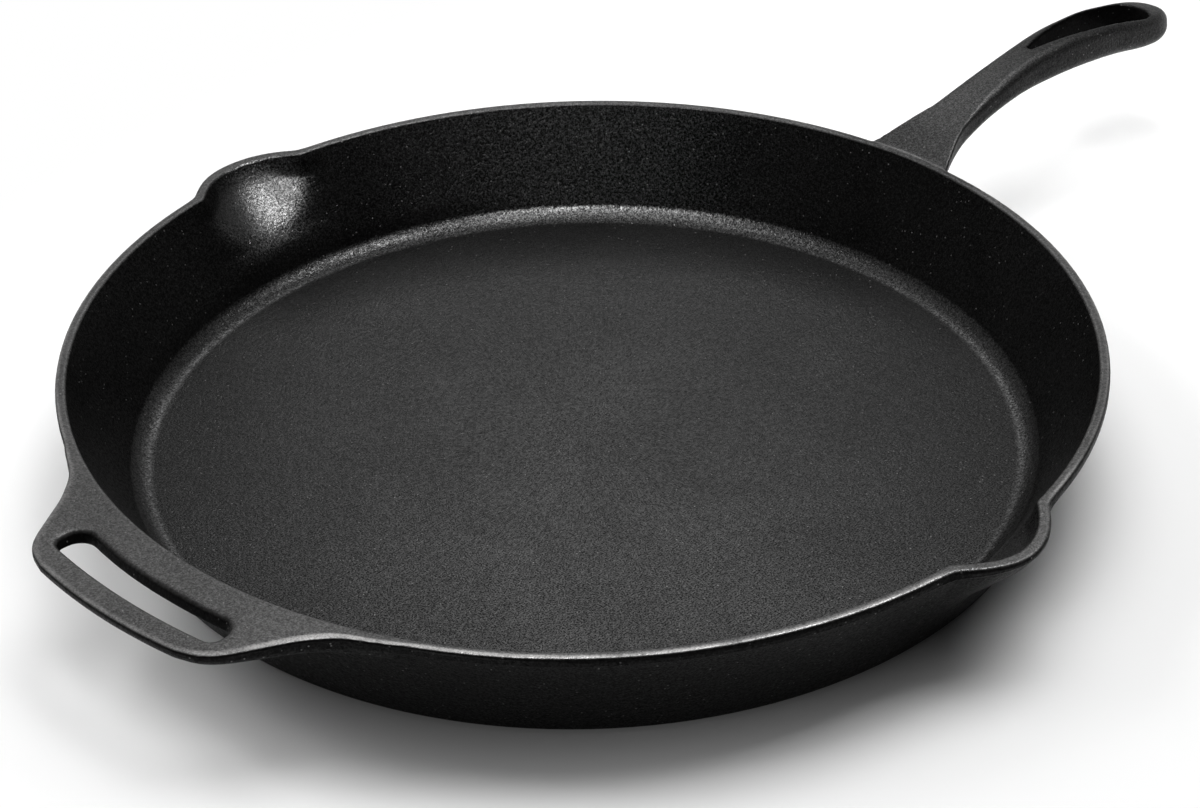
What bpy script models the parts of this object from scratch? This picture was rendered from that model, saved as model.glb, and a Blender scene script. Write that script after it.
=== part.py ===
"""Cast iron skillet, two handles and two pouring lips, modelled in metres with +Z up.

Origin: centre of the flat underside. The long handle runs along +X, the helper
handle along -X and the pouring lips sit at +Y and -Y. The bowl and the two handles
are separate bodies that meet at the roots of the handles with a hairline gap.
"""

import math

import bmesh
import bpy
from mathutils import Vector

# ---- bowl -------------------------------------------------------------------
RIM_R = 0.2075          # outer radius at the rim
RIM_W = 0.0040          # width of the flat top of the rim
HEIGHT = 0.0509         # underside to rim
BASE_R = 0.1850         # outer wall carried down to the underside
FLOOR_T = 0.0047        # thickness of the floor
FLOOR_R = 0.1744        # flat cooking surface
FLOOR_FILLET = 0.0100   # inside corner between floor and wall
BASE_FILLET = 0.0030    # outside corner at the underside
BAND_H = 0.0040         # thickened band under the rim
BAND_STEP = 0.0009      # how far the band stands out from the wall
BAND_RAMP = 0.0007      # height over which the band steps out
BAND_DRAFT = 0.0001     # how much narrower the band is at its foot than at the rim
EDGE = 0.0008           # softening of the rim's two edges
INNER_EDGE_IN = 0.0002  # how far the rim's inner edge runs in past the rim width

# shares of the way along each wall where the profile has a point
OUTER_WALL_SHARES = (0.25, 0.48, 0.66, 0.8, 0.92)           # from the underside up
INNER_WALL_SHARES = (0.07, 0.16, 0.27, 0.4, 0.54, 0.7, 0.85)  # from the rim down

# line through the middle of the wall, from the middle of the rim to its foot
MID_RIM_R = RIM_R - RIM_W / 2
MID_FOOT_R = 0.1823
MID_FOOT_Z = 0.0040

# ---- pouring lips -----------------------------------------------------------
LIP_OUT = 0.0122        # how far the lip stands out from the rim circle
LIP_HALF_W = 0.0285     # half width of a lip where it leaves the rim
LIP_DEPTH = 0.0270      # how far the scoop runs down the wall
LIP_DIP = 0.0012        # the lip's crest is this much below the rim
LIP_DIP_SPREAD = 0.018  # distance along X over which the dip fades
LIP_LIMIT = 0.040       # no point farther across or down than this is pushed out
LIP_FADE = 0.008        # the push fades to nothing over this last stretch
LIP_SEARCH_X = 0.045    # points farther than this from the YZ plane are left alone
LIP_FLOOR_MARGIN = 0.002  # points this close to the cooking surface are left alone

# the scoop on each face of the wall; "soft" rounds the scoop's border
OUTER_SCOOP = {
    "out": LIP_OUT,
    "half_width": LIP_HALF_W + 0.0007,
    "depth": LIP_DEPTH + 0.002,
    "soft": 0.0010,
}
INNER_SCOOP = {
    "out": LIP_OUT - 0.0005,
    "half_width": LIP_HALF_W - 0.0013,
    "depth": LIP_DEPTH,
    "soft": 0.0004,
}

# degrees and steps of the bowl's revolution: fine across a lip, coarse between lips
LIP_SWEEP = 20.8
LIP_STEPS = 22
BETWEEN_STEPS = 30

# ---- both handles -----------------------------------------------------------
GAP = 0.0003            # clearance between neighbouring bodies
ROOT_R = RIM_R + GAP    # both handles end at this radius, just outside the rim

# ---- helper handle ----------------------------------------------------------
PLATE_T = 0.0067        # thickness of the plate at its root, flush with the rim
PLATE_THIN = 0.0037     # thickness at the outer edge of the grip
PLATE_TIP = 0.2449      # reach of the plate from the axis
TAPER_FROM = 0.190      # distance from the axis where the plate begins to thin
ROOT_STEPS = 14         # steps of the plate's edge along the rim
SLOT_HALF_L = 0.0450    # half length of the finger slot
SLOT_IN = 0.2192        # middle of the slot's edge nearest the bowl
SLOT_OUT = 0.2342       # middle of the slot's edge nearest the grip
SLOT_IN_BOW = 0.0052    # how far the inner edge's ends fall back towards the bowl
SLOT_OUT_BOW = 0.0042   # the same for the outer edge
SLOT_CORNER = 0.0060    # corner radius
SLOT_CORNER_STEPS = 4
SLOT_SHARES = (-1.0, -0.66, -0.33, 0.0, 0.33, 0.66, 1.0)  # of SLOT_HALF_L

HELPER_EDGE = [  # (distance along -X, half width), from the rim to the grip's tip
    (0.1926, 0.0828), (0.1950, 0.0783), (0.1985, 0.0736), (0.2030, 0.0693),
    (0.2100, 0.0643), (0.2200, 0.0588), (0.2295, 0.0533), (0.2345, 0.0495),
    (0.2388, 0.0442), (0.2420, 0.0366), (PLATE_TIP, 0.0),
]

HELPER_BEVEL = 0.0026
EASED_WEIGHT = 0.27     # share of the bevel given to the edges that are only eased
CREASE_ANGLE = 1.0      # radians; flatter edges are not bevelled
LEVEL_RISE = 0.003      # edges that rise more than this run up the plate's sides
TOP_DEPTH = 0.0015      # edges within this depth of the rim belong to the top
RIM_MARGIN = 0.0015     # edges this close to the root arc belong to it
SLOT_END_MARGIN = 0.003   # the same for the slot's ends
SLOT_OUT_MARGIN = 0.002   # and for its outer edge

# ---- long handle ------------------------------------------------------------
GRIP_TIP = 0.3949       # reach of the handle from the axis
GRIP_PEAK = 0.0712      # top of the arch above the underside
ROUND_FROM = 0.3737     # where the rounded end begins
TIP_MIN_HALF = 0.0006   # half width left at the very tip
TIP_THICK_SHARE = 0.45  # share of the thickness left at the tip
TIP_DROP = 0.002        # how far the crest falls at the tip
HOLE_START = 0.2929     # narrow end of the teardrop hanging hole
HOLE_END = 0.3799       # round end of the hole
HOLE_WIDEST = HOLE_END - 0.0112  # where the hole is widest
HOLE_HALF_W = 0.0105    # widest half width of the hole
HOLE_START_HALF = 0.0007  # half width of the blunt narrow end
HOLE_SAMPLES = 12       # points along each long side
HOLE_SPACING = 1.2      # power that crowds those points towards the narrow end

# The tables below give a value in the second column at a distance along +X.
CREST = [  # height of the crest
    (0.200, 0.0506), (0.2078, 0.0514), (0.215, 0.0540), (0.225, 0.0577),
    (0.235, 0.0602), (0.250, 0.0637), (0.268, 0.0675), (0.285, 0.0702),
    (0.301, GRIP_PEAK), (0.315, 0.0710), (0.330, 0.0697), (0.342, 0.0685),
    (0.352, 0.0669), (0.362, 0.0646), (0.375, 0.0616), (0.384, 0.0599),
    (GRIP_TIP, 0.0580),
]
HALF_WIDTH = [
    (0.200, 0.0235), (0.2078, 0.0194), (0.215, 0.0160), (0.225, 0.0125),
    (0.235, 0.0104), (0.250, 0.0087), (0.265, 0.0083), (0.285, 0.0086),
    (0.300, 0.0099), (0.315, 0.0111), (0.330, 0.0124), (0.345, 0.0135),
    (0.357, 0.0146), (0.367, 0.0152), (0.375, 0.0152),
]
THICKNESS = [  # crest to underside, without the keel
    (0.200, 0.0046), (0.2078, 0.0050), (0.215, 0.0072), (0.225, 0.0100),
    (0.235, 0.0103), (0.250, 0.0107), (0.270, 0.0126), (0.290, 0.0150),
    (0.310, 0.0160), (0.330, 0.0159), (0.345, 0.0159), (0.365, 0.0148),
    (0.378, 0.0135), (GRIP_TIP, 0.0120),
]
KEEL = [  # extra depth along the middle of the underside
    (0.200, 0.0075), (0.2078, 0.0052), (0.215, 0.0030), (0.225, 0.0014),
    (0.240, 0.0008), (GRIP_TIP, 0.0006),
]
STATIONS = [  # distances along +X of the sections up to the rounded end
    0.2015, 0.2078, 0.212, 0.218, 0.225, 0.232, 0.240, 0.250, 0.260, 0.270,
    0.280, 0.290, 0.300, 0.310, 0.320, 0.330, 0.340, 0.350, 0.359, 0.367,
]
# sections of the rounded end, in degrees, closer together towards the tip
TIP_ANGLES = (0, 16, 32, 46, 59, 70, 80, 90)

HOLE_SWELL = [  # (share of the way to the widest point, share of the half width)
    (0.0, 0.10), (0.08, 0.22), (0.25, 0.45), (0.5, 0.70), (0.75, 0.90), (1.0, 1.0),
]
HOLE_END_ANGLES = (20, 40, 60, 80)  # degrees round the hole's round end

SHARP_ANGLE = 35.0      # degrees; sharper edges are shaded as creases


# ---- helpers ----------------------------------------------------------------
def clear_scene():
    for obj in list(bpy.data.objects):
        bpy.data.objects.remove(obj, do_unlink=True)


def collection(name):
    made = bpy.data.collections.new(name)
    bpy.context.scene.collection.children.link(made)
    return made


def iron(name, roughness):
    material = bpy.data.materials.new(name)
    material.use_nodes = True
    shader = material.node_tree.nodes["Principled BSDF"]
    shader.inputs["Base Color"].default_value = (0.028, 0.027, 0.026, 1.0)
    shader.inputs["Metallic"].default_value = 0.6
    shader.inputs["Roughness"].default_value = roughness
    return material


def finish(name, shape, material, into):
    """Turn a bmesh into a shaded object in a collection."""
    bmesh.ops.recalc_face_normals(shape, faces=shape.faces[:])
    mesh = bpy.data.meshes.new(name)
    shape.to_mesh(mesh)
    shape.free()
    mesh.shade_smooth()
    mesh.set_sharp_from_angle(angle=math.radians(SHARP_ANGLE))
    obj = bpy.data.objects.new(name, mesh)
    obj.data.materials.append(material)
    into.objects.link(obj)
    return obj


def clamp(value):
    return max(0.0, min(1.0, value))


def smooth_curve(keys, at):
    """A Catmull-Rom curve through (x, value) keys, read at x and held past its ends."""
    if at <= keys[0][0]:
        return keys[0][1]
    if at >= keys[-1][0]:
        return keys[-1][1]
    i = max(j for j in range(len(keys) - 1) if keys[j][0] <= at)
    x0, y0 = keys[i]
    x1, y1 = keys[i + 1]
    before = keys[i - 1] if i > 0 else (2 * x0 - x1, 2 * y0 - y1)
    after = keys[i + 2] if i + 2 < len(keys) else (2 * x1 - x0, 2 * y1 - y0)
    slope0 = (y1 - before[1]) / (x1 - before[0]) * (x1 - x0)
    slope1 = (after[1] - y0) / (after[0] - x0) * (x1 - x0)
    t = (at - x0) / (x1 - x0)
    return (
        (2 * t**3 - 3 * t**2 + 1) * y0
        + (t**3 - 2 * t**2 + t) * slope0
        + (-2 * t**3 + 3 * t**2) * y1
        + (t**3 - t**2) * slope1
    )


def arc(centre_x, centre_y, radius, start, end, steps):
    """Points of an arc in a plane, angles in degrees from the first axis."""
    points = []
    for i in range(steps + 1):
        angle = math.radians(start + (end - start) * i / steps)
        points.append(
            (centre_x + radius * math.cos(angle), centre_y + radius * math.sin(angle))
        )
    return points


def along(start, end, shares):
    """Points at the given shares of the straight way from start to end."""
    return [
        (
            start[0] + (end[0] - start[0]) * share,
            start[1] + (end[1] - start[1]) * share,
        )
        for share in shares
    ]


def mirrored(points):
    """The points in reverse order on the other side of the X axis."""
    return [(x, -y) for x, y in reversed(points)]


def plate_from(name, outlines, thickness, middle_z, into):
    """A flat plate from closed outlines; the later ones are holes."""
    curve = bpy.data.curves.new(name + "_outline", "CURVE")
    curve.dimensions = "2D"
    curve.fill_mode = "BOTH"
    curve.extrude = thickness / 2
    for outline in outlines:
        spline = curve.splines.new("POLY")
        spline.points.add(len(outline) - 1)
        for point, (x, y) in zip(spline.points, outline):
            point.co = (x, y, 0.0, 1.0)
        spline.use_cyclic_u = True
    guide = bpy.data.objects.new(name + "_outline", curve)
    into.objects.link(guide)
    guide.location.z = middle_z
    bpy.context.view_layer.update()
    mesh = bpy.data.meshes.new_from_object(
        guide.evaluated_get(bpy.context.evaluated_depsgraph_get())
    )
    mesh.transform(guide.matrix_world)
    bpy.data.objects.remove(guide, do_unlink=True)
    plate = bmesh.new()
    plate.from_mesh(mesh)
    bpy.data.meshes.remove(mesh)
    # weld the faces to the sides, then merge the flat faces' triangles
    bmesh.ops.remove_doubles(plate, verts=plate.verts[:], dist=1e-5)
    bmesh.ops.dissolve_limit(
        plate, angle_limit=math.radians(0.5), verts=plate.verts[:], edges=plate.edges[:]
    )
    return plate


# ---- bowl -------------------------------------------------------------------
def bowl_profile():
    """Half section (radius, z) from the axis along the underside, up the wall, over
    the rim and back along the cooking surface to the axis."""
    band_z = HEIGHT - BAND_H
    band_r = RIM_R - BAND_STEP
    lean = math.degrees(math.atan2(band_r - BASE_R, band_z))
    reach = BASE_FILLET * math.tan(math.radians(90 - lean) / 2)
    points = [(0.0, 0.0)]
    points += arc(BASE_R - reach, BASE_FILLET, BASE_FILLET, -90, -lean, 3)
    points += along((BASE_R, 0.0), (band_r, band_z), OUTER_WALL_SHARES)
    inner_top = (RIM_R - RIM_W - INNER_EDGE_IN, HEIGHT - EDGE)
    points += [
        (band_r, band_z),
        (RIM_R - BAND_DRAFT, band_z + BAND_RAMP),
        (RIM_R, HEIGHT - EDGE),
        (RIM_R - EDGE, HEIGHT),
        (RIM_R - RIM_W + EDGE, HEIGHT),
        inner_top,
    ]
    # the inner wall is tangent to the corner fillet at the foot
    fillet_z = FLOOR_T + FLOOR_FILLET
    run, rise = inner_top[0] - FLOOR_R, inner_top[1] - fillet_z
    bearing = math.degrees(math.atan2(rise, run))
    touch = bearing - math.degrees(math.acos(FLOOR_FILLET / math.hypot(run, rise)))
    foot = arc(FLOOR_R, fillet_z, FLOOR_FILLET, touch, -90, 5)
    points += along(inner_top, foot[0], INNER_WALL_SHARES)
    return points + foot + [(0.0, FLOOR_T)]


def lip_offset(across, drop, out, half_width, depth, soft):
    """How far a point of the wall moves out at a pouring lip: a scoop that is
    deepest at the rim and fades over an ellipse on the wall."""
    reach = out * (1 - (across / half_width) ** 2 - (drop / depth) ** 2)
    pushed = (reach + math.sqrt(reach * reach + 4 * soft * soft)) / 2
    fade_across = clamp((LIP_LIMIT - abs(across)) / LIP_FADE)
    return pushed * fade_across * clamp((LIP_LIMIT - drop) / LIP_FADE)


def revolve_bowl():
    shape = bmesh.new()
    start = math.radians(-90 - LIP_SWEEP / 2)
    verts = [
        shape.verts.new((radius * math.cos(start), radius * math.sin(start), z))
        for radius, z in bowl_profile()
    ]
    edges = [shape.edges.new(pair) for pair in zip(verts[:-1], verts[1:])]
    last = verts + edges
    for sweep, steps in ((LIP_SWEEP, LIP_STEPS), (180 - LIP_SWEEP, BETWEEN_STEPS)) * 2:
        last = bmesh.ops.spin(
            shape,
            geom=last,
            cent=(0, 0, 0),
            axis=(0, 0, 1),
            angle=math.radians(sweep),
            steps=steps,
        )["geom_last"]
    bmesh.ops.remove_doubles(shape, verts=shape.verts[:], dist=1e-6)
    return shape


def build_bowl(material, into):
    shape = revolve_bowl()
    wall_slope = (MID_RIM_R - MID_FOOT_R) / (HEIGHT - MID_FOOT_Z)
    # push the two lips out of the wall and dip their crests
    for vert in shape.verts:
        x, y, z = vert.co
        radius = math.hypot(x, y)
        if radius < FLOOR_R + LIP_FLOOR_MARGIN or abs(x) > LIP_SEARCH_X:
            continue
        drop = max(0.0, HEIGHT - z)
        on_outside = radius > MID_RIM_R - (HEIGHT - z) * wall_slope
        push = lip_offset(x, drop, **(OUTER_SCOOP if on_outside else INNER_SCOOP))
        vert.co.y = y + math.copysign(push, y)
        dip = LIP_DIP * math.exp(-((x / LIP_DIP_SPREAD) ** 2))
        vert.co.z = z - dip * max(0.0, 1 - drop / LIP_DEPTH)
    return finish("pan_body", shape, material, into)


# ---- helper handle ----------------------------------------------------------
def rounded(points, radius, steps):
    """The closed polygon of (x, y, is_corner) with each corner replaced by an arc."""
    outline = []
    for i, (x, y, is_corner) in enumerate(points):
        here = Vector((x, y))
        if not is_corner:
            outline.append(here)
            continue
        before = Vector(points[i - 1][:2]) - here
        after = Vector(points[(i + 1) % len(points)][:2]) - here
        before.normalize()
        after.normalize()
        half = before.angle(after) / 2
        reach = radius / math.tan(half)
        centre = here + (before + after).normalized() * (radius / math.sin(half))
        first = here + before * reach - centre
        second = here + after * reach - centre
        turn = first.angle_signed(second)
        for step in range(steps + 1):
            # angle_signed counts clockwise, the rotation below the other way
            angle = -turn * step / steps
            cos, sin = math.cos(angle), math.sin(angle)
            spoke = Vector((first.x * cos - first.y * sin, first.x * sin + first.y * cos))
            outline.append(centre + spoke)
    return outline


def slot_outline():
    """The finger slot, both long sides bowed away from the bowl."""
    points = []
    for shares, middle, bow in (
        (SLOT_SHARES, SLOT_IN, SLOT_IN_BOW),
        (SLOT_SHARES[::-1], SLOT_OUT, SLOT_OUT_BOW),
    ):
        for share in shares:
            x = -(middle - bow * share * share)
            points.append((x, SLOT_HALF_L * share, abs(share) == 1.0))
    return rounded(points, SLOT_CORNER, SLOT_CORNER_STEPS)


def helper_outline():
    """The plate in plan: the +Y side, the -Y side, then the arc along the rim."""
    side = []
    for (x0, _), (x1, _) in zip(HELPER_EDGE[:-2], HELPER_EDGE[1:-1]):
        for part in (0.0, 0.5):
            x = x0 + (x1 - x0) * part
            side.append((-x, smooth_curve(HELPER_EDGE, x)))
    # the grip's outer edge is a shallow bow that reaches farthest in the middle
    bow_x, bow_y = HELPER_EDGE[-2]
    for part in (0.0, 0.5):
        y = bow_y * (1 - part)
        side.append((-(PLATE_TIP - (PLATE_TIP - bow_x) * (y / bow_y) ** 2), y))
    outline = side + [(-PLATE_TIP, 0.0)] + mirrored(side)
    # the inner edge follows the rim at a hairline distance, from -Y round to +Y
    blend = math.pi - math.atan2(side[0][1], side[0][0])
    for i in range(ROOT_STEPS + 1):
        angle = math.pi + blend * (1 - 2 * i / ROOT_STEPS)
        outline.append((ROOT_R * math.cos(angle), ROOT_R * math.sin(angle)))
    return outline


def weight_helper_edges(plate):
    """The plate's outer edge is rounded up from below, its other edges only eased."""
    weight = plate.edges.layers.float.new("bevel_weight_edge")
    for edge in plate.edges:
        start, end = (vert.co for vert in edge.verts)
        if abs(start.z - end.z) > LEVEL_RISE or edge.calc_face_angle(0.0) < CREASE_ANGLE:
            continue
        middle = (start + end) / 2
        by_rim = math.hypot(middle.x, middle.y) < ROOT_R + RIM_MARGIN
        in_slot = (
            abs(middle.y) < SLOT_HALF_L + SLOT_END_MARGIN
            and middle.x > -(SLOT_OUT + SLOT_OUT_MARGIN)
        )
        under = middle.z < HEIGHT - TOP_DEPTH
        edge[weight] = 1.0 if under and not by_rim and not in_slot else EASED_WEIGHT


def build_helper(material, into):
    middle_z = HEIGHT - PLATE_T / 2
    outlines = [helper_outline(), slot_outline()]
    plate = plate_from("helper_handle", outlines, PLATE_T, middle_z, into)
    # the underside climbs towards the outer edge of the grip
    for vert in plate.verts:
        if vert.co.z < middle_z:
            share = clamp((-vert.co.x - TAPER_FROM) / (PLATE_TIP - TAPER_FROM))
            vert.co.z = HEIGHT - PLATE_T + (PLATE_T - PLATE_THIN) * share
    weight_helper_edges(plate)
    obj = finish("helper_handle", plate, material, into)
    bevel = obj.modifiers.new("softened_edges", "BEVEL")
    bevel.width = HELPER_BEVEL
    bevel.segments = 3
    bevel.limit_method = "WEIGHT"
    return obj


# ---- long handle ------------------------------------------------------------
def handle_section(x):
    """One closed section of the handle across +X, as (y, z) points."""
    top = smooth_curve(CREST, x)
    thick = smooth_curve(THICKNESS, x)
    keel = smooth_curve(KEEL, x)
    half = smooth_curve(HALF_WIDTH, min(x, ROUND_FROM))
    if x > ROUND_FROM:
        # the end is rounded in plan and thins towards its tip
        share = (x - ROUND_FROM) / (GRIP_TIP - ROUND_FROM)
        turn = math.sqrt(max(0.0, 1 - share**2))
        half = max(TIP_MIN_HALF, half * turn)
        thick *= TIP_THICK_SHARE + (1 - TIP_THICK_SHARE) * turn
        top -= TIP_DROP * (1 - turn)
    # upper edge radius, growing away from the bowl, and lower edge radius;
    # both are held to what the section has room for
    upper = min(0.0034, 0.0010 + max(0.0, x - 0.235) * 0.025, half * 0.5, thick * 0.3)
    lower = min(0.0045, half * 0.45, thick * 0.40)
    # the top falls slightly from the crest to where the upper edge begins
    shoulder = top - upper * 0.18
    bottom = top - thick
    side = [(half * 0.5, top - upper * 0.06), (half - upper, shoulder)]
    side += arc(half - upper, shoulder - upper, upper, 60, 0, 2)
    side += arc(half - lower, bottom + lower, lower, 0, -90, 3)
    side.append((half * 0.28, bottom - keel * 0.8))
    other_side = [(-y, z) for y, z in reversed(side)]
    return [(0.0, top)] + side + [(0.0, bottom - keel)] + other_side


def loft_handle():
    """The handle's solid skin through all its sections."""
    shape = bmesh.new()
    tip_stations = [
        ROUND_FROM + (GRIP_TIP - ROUND_FROM) * math.sin(math.radians(angle))
        for angle in TIP_ANGLES
    ]
    rings = [
        [shape.verts.new((x, y, z)) for y, z in handle_section(x)]
        for x in STATIONS + tip_stations
    ]
    for before, after in zip(rings[:-1], rings[1:]):
        for i in range(len(before)):
            j = (i + 1) % len(before)
            shape.faces.new((before[i], before[j], after[j], after[i]))
    shape.faces.new(rings[0])
    shape.faces.new(list(reversed(rings[-1])))
    return shape


def teardrop():
    """The hanging hole in plan: a narrow start that swells to a round end."""
    run = HOLE_WIDEST - HOLE_START
    swell = [(HOLE_START + run * share, HOLE_HALF_W * width) for share, width in HOLE_SWELL]
    side = [(HOLE_START, HOLE_START_HALF)]
    for i in range(1, HOLE_SAMPLES + 1):
        x = HOLE_START + run * (i / HOLE_SAMPLES) ** HOLE_SPACING
        side.append((x, smooth_curve(swell, x)))
    for angle in HOLE_END_ANGLES:
        turn = math.radians(angle)
        x = HOLE_WIDEST + (HOLE_END - HOLE_WIDEST) * math.sin(turn)
        side.append((x, HOLE_HALF_W * math.cos(turn)))
    return side + [(HOLE_END, 0.0)] + mirrored(side)


def build_hole_cutter(material, into):
    hole = plate_from("hanging_hole", [teardrop()], thickness=0.060, middle_z=0.060, into=into)
    bmesh.ops.triangulate(hole, faces=hole.faces[:])
    return finish("hanging_hole_cutter", hole, material, into)


def build_bowl_cutter(material, into):
    """A cylinder that trims the handle's root to the rim's clearance radius."""
    cylinder = bmesh.new()
    bmesh.ops.create_cone(
        cylinder, cap_ends=True, segments=180, radius1=ROOT_R, radius2=ROOT_R, depth=0.10
    )
    cutter = finish("bowl_clearance_cutter", cylinder, material, into)
    cutter.location.z = HEIGHT
    return cutter


def build_long_handle(material, into, cutters):
    handle = finish("long_handle", loft_handle(), material, into)
    for build_cutter in (build_hole_cutter, build_bowl_cutter):
        cutter = build_cutter(material, cutters)
        cutter.hide_render = True
        cutter.display_type = "WIRE"
        boolean = handle.modifiers.new(cutter.name, "BOOLEAN")
        boolean.operation = "DIFFERENCE"
        boolean.solver = "EXACT"
        boolean.object = cutter
    return handle


clear_scene()
skillet_parts = collection("cast_iron_skillet")
cutter_parts = collection("cutters")
build_bowl(iron("iron_bowl", roughness=0.55), skillet_parts)
build_helper(iron("iron_helper_handle", roughness=0.50), skillet_parts)
build_long_handle(iron("iron_long_handle", roughness=0.50), skillet_parts, cutter_parts)
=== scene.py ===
"""Cast iron skillet: a round bowl with two pouring lips, a slotted plate handle and an
arched grip with a teardrop hole, as one continuous casting.

The bowl stands on z = 0 and is centred on the origin. The long grip runs along +X, the
plate (the helper handle) along -X, and the lips lie at +Y and -Y. The casting is a signed
distance, negative in the iron. It is meshed on a polar grid that is finer at the rim,
lips and handles, and the vertices are then moved onto the exact surface.
"""

import math
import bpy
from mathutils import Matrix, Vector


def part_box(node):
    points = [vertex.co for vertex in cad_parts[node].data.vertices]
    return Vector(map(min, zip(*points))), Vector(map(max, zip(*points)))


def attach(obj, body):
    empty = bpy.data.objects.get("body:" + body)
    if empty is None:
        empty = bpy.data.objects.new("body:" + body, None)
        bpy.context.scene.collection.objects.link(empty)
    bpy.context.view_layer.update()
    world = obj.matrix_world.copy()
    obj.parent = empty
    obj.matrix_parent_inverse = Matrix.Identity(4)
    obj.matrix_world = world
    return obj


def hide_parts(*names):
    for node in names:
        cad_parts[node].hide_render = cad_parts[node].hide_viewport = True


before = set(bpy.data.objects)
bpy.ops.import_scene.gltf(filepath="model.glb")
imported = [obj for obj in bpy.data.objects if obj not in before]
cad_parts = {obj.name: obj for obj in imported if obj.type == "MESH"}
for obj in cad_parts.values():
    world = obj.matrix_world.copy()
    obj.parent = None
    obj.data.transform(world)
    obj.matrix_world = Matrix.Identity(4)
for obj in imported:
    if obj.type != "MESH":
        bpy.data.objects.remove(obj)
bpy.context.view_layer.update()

from types import SimpleNamespace

import bmesh
import bpy
import numpy as np
from mathutils import Matrix, Vector

# ---- dimensions, in metres ---------------------------------------------------------------
_, bowl_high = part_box("pan_body")
_, grip_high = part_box("long_handle")
plate_low, plate_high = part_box("helper_handle")

# bowl
RIM_Z = plate_high.z            # the rim and the top of the plate
RIM_RADIUS = bowl_high.x + 0.0009
BASE_RADIUS = 0.1850
BASE_BLEND = 0.0028
BAND_Z = RIM_Z - 0.0040         # underside of the band round the rim
BAND_ROOT_RADIUS = RIM_RADIUS - 0.0014
OUTER_SLOPE = (BAND_ROOT_RADIUS - BASE_RADIUS) / BAND_Z
OUTER_COS = 1 / math.hypot(1, OUTER_SLOPE)
FLOOR_Z = 0.0047
FLOOR_BLEND = 0.0056
CAVITY_SLOPE = 0.5197
CAVITY_COS = 1 / math.hypot(1, CAVITY_SLOPE)
CAVITY_FOOT = 0.18342 - CAVITY_SLOPE * 0.0103   # the wall's radius carried down to z = 0
EDGE_OUTER = 0.0020             # rounding of the rim's outer edge
EDGE_INNER = 0.0008
EDGE_PLATE = 0.0010             # rounding of the plate's top edge

# pouring lips
LIP_OUT = bowl_high.y - bowl_high.x + 0.0001
LIP_HALF_WIDTH = 0.0285
LIP_DEPTH = 0.0245
LIP_DIP = 0.0012                # how far the rim sinks at a lip
LIP_X = (0.0015, 0.0034)        # middles of the +Y and the -Y lip

# plate handle and its slot
PLATE_ROOT, PLATE_THIN = 0.0078, 0.0045   # thickness at the bowl and at the tip
PLATE_START = 0.190
PLATE_TIP = -plate_low.x - 0.0008
PLATE_FILLET = 0.0030
SLOT_HALF_LENGTH, SLOT_INNER, SLOT_OUTER = 0.0449, 0.2190, 0.2328
SLOT_Y = 0.0009
SLOT_BOW = 0.0034               # how far the slot's ends lie nearer the bowl
SLOT_BOW_INNER = 0.0052         # the same on the inner side towards +Y
SLOT_TAPER = 0.24

# long handle and its hole
GRIP_TIP = grip_high.x
GRIP_ROUND = 0.3737             # where the rounded end starts
HOLE_START, HOLE_END, HOLE_HALF_WIDTH = 0.2929, 0.3799, 0.0105

# x and height of the long handle's top
GRIP_TOP = np.array([
    (0.200, 0.0504), (0.2078, 0.0512), (0.215, 0.0541), (0.225, 0.0581),
    (0.235, 0.0609), (0.250, 0.0648), (0.268, 0.0686), (0.285, 0.0711),
    (0.301, 0.0720), (0.315, 0.0718), (0.330, 0.0704), (0.342, 0.0690),
    (0.352, 0.0671), (0.362, 0.0646), (0.375, 0.0616), (0.384, 0.0599),
    (0.3949, 0.0580),
])
# x and half width of the long handle
GRIP_HALF = np.array([
    (0.195, 0.0270), (0.200, 0.0245), (0.2078, 0.0206), (0.215, 0.0175),
    (0.225, 0.0140), (0.235, 0.0120), (0.250, 0.0109), (0.265, 0.0104),
    (0.285, 0.0100), (0.300, 0.0107), (0.315, 0.0117), (0.330, 0.0127),
    (0.345, 0.0136), (0.357, 0.0146), (0.367, 0.0152), (0.375, 0.0152),
])
# x and thickness of the long handle
GRIP_THICK = np.array([
    (0.200, 0.0046), (0.2078, 0.0050), (0.215, 0.0072), (0.225, 0.0102),
    (0.235, 0.0108), (0.250, 0.0114), (0.270, 0.0130), (0.290, 0.0151),
    (0.310, 0.0160), (0.330, 0.0159), (0.345, 0.0159), (0.365, 0.0148),
    (0.378, 0.0135), (0.3949, 0.0120),
])
# -x and half width of the plate on its -Y side
PLATE_SIDE = np.array([
    (0.1866, 0.0918), (0.1893, 0.0877), (0.1922, 0.0836), (0.1950, 0.0790),
    (0.1985, 0.0741), (0.2030, 0.0697), (0.2100, 0.0645), (0.2200, 0.0588),
    (0.2295, 0.0533), (0.2345, 0.0494), (0.2384, 0.0441), (0.2412, 0.0366),
])
# -x and what the plate's +Y side has over the -Y side
PLATE_EXTRA = np.array([
    (0.1866, 0.0002), (0.1900, 0.0004), (0.1960, 0.0011), (0.2030, 0.0015),
    (0.2100, 0.0012), (0.2200, 0.0009), (0.2300, 0.0008), (0.2412, 0.0010),
])
# share of the teardrop's length up to its widest place, share of its half width
TEARDROP_SIDE = ((0.0, 0.10), (0.08, 0.22), (0.25, 0.45), (0.5, 0.70), (0.75, 0.90), (1.0, 1.0))

# grid: farthest radius needed at the bowl, the lips and the plate
BOWL_REACH, LIP_REACH, PLATE_REACH = 0.2105, 0.2225, 0.248
GRIP_DEGREES = 9.0              # the long handle's columns, either side of +X
GRIP_ANGLE = math.radians(GRIP_DEGREES)
GRIP_GRID_HALF = 0.0182         # half width of those columns once they run parallel
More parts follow.
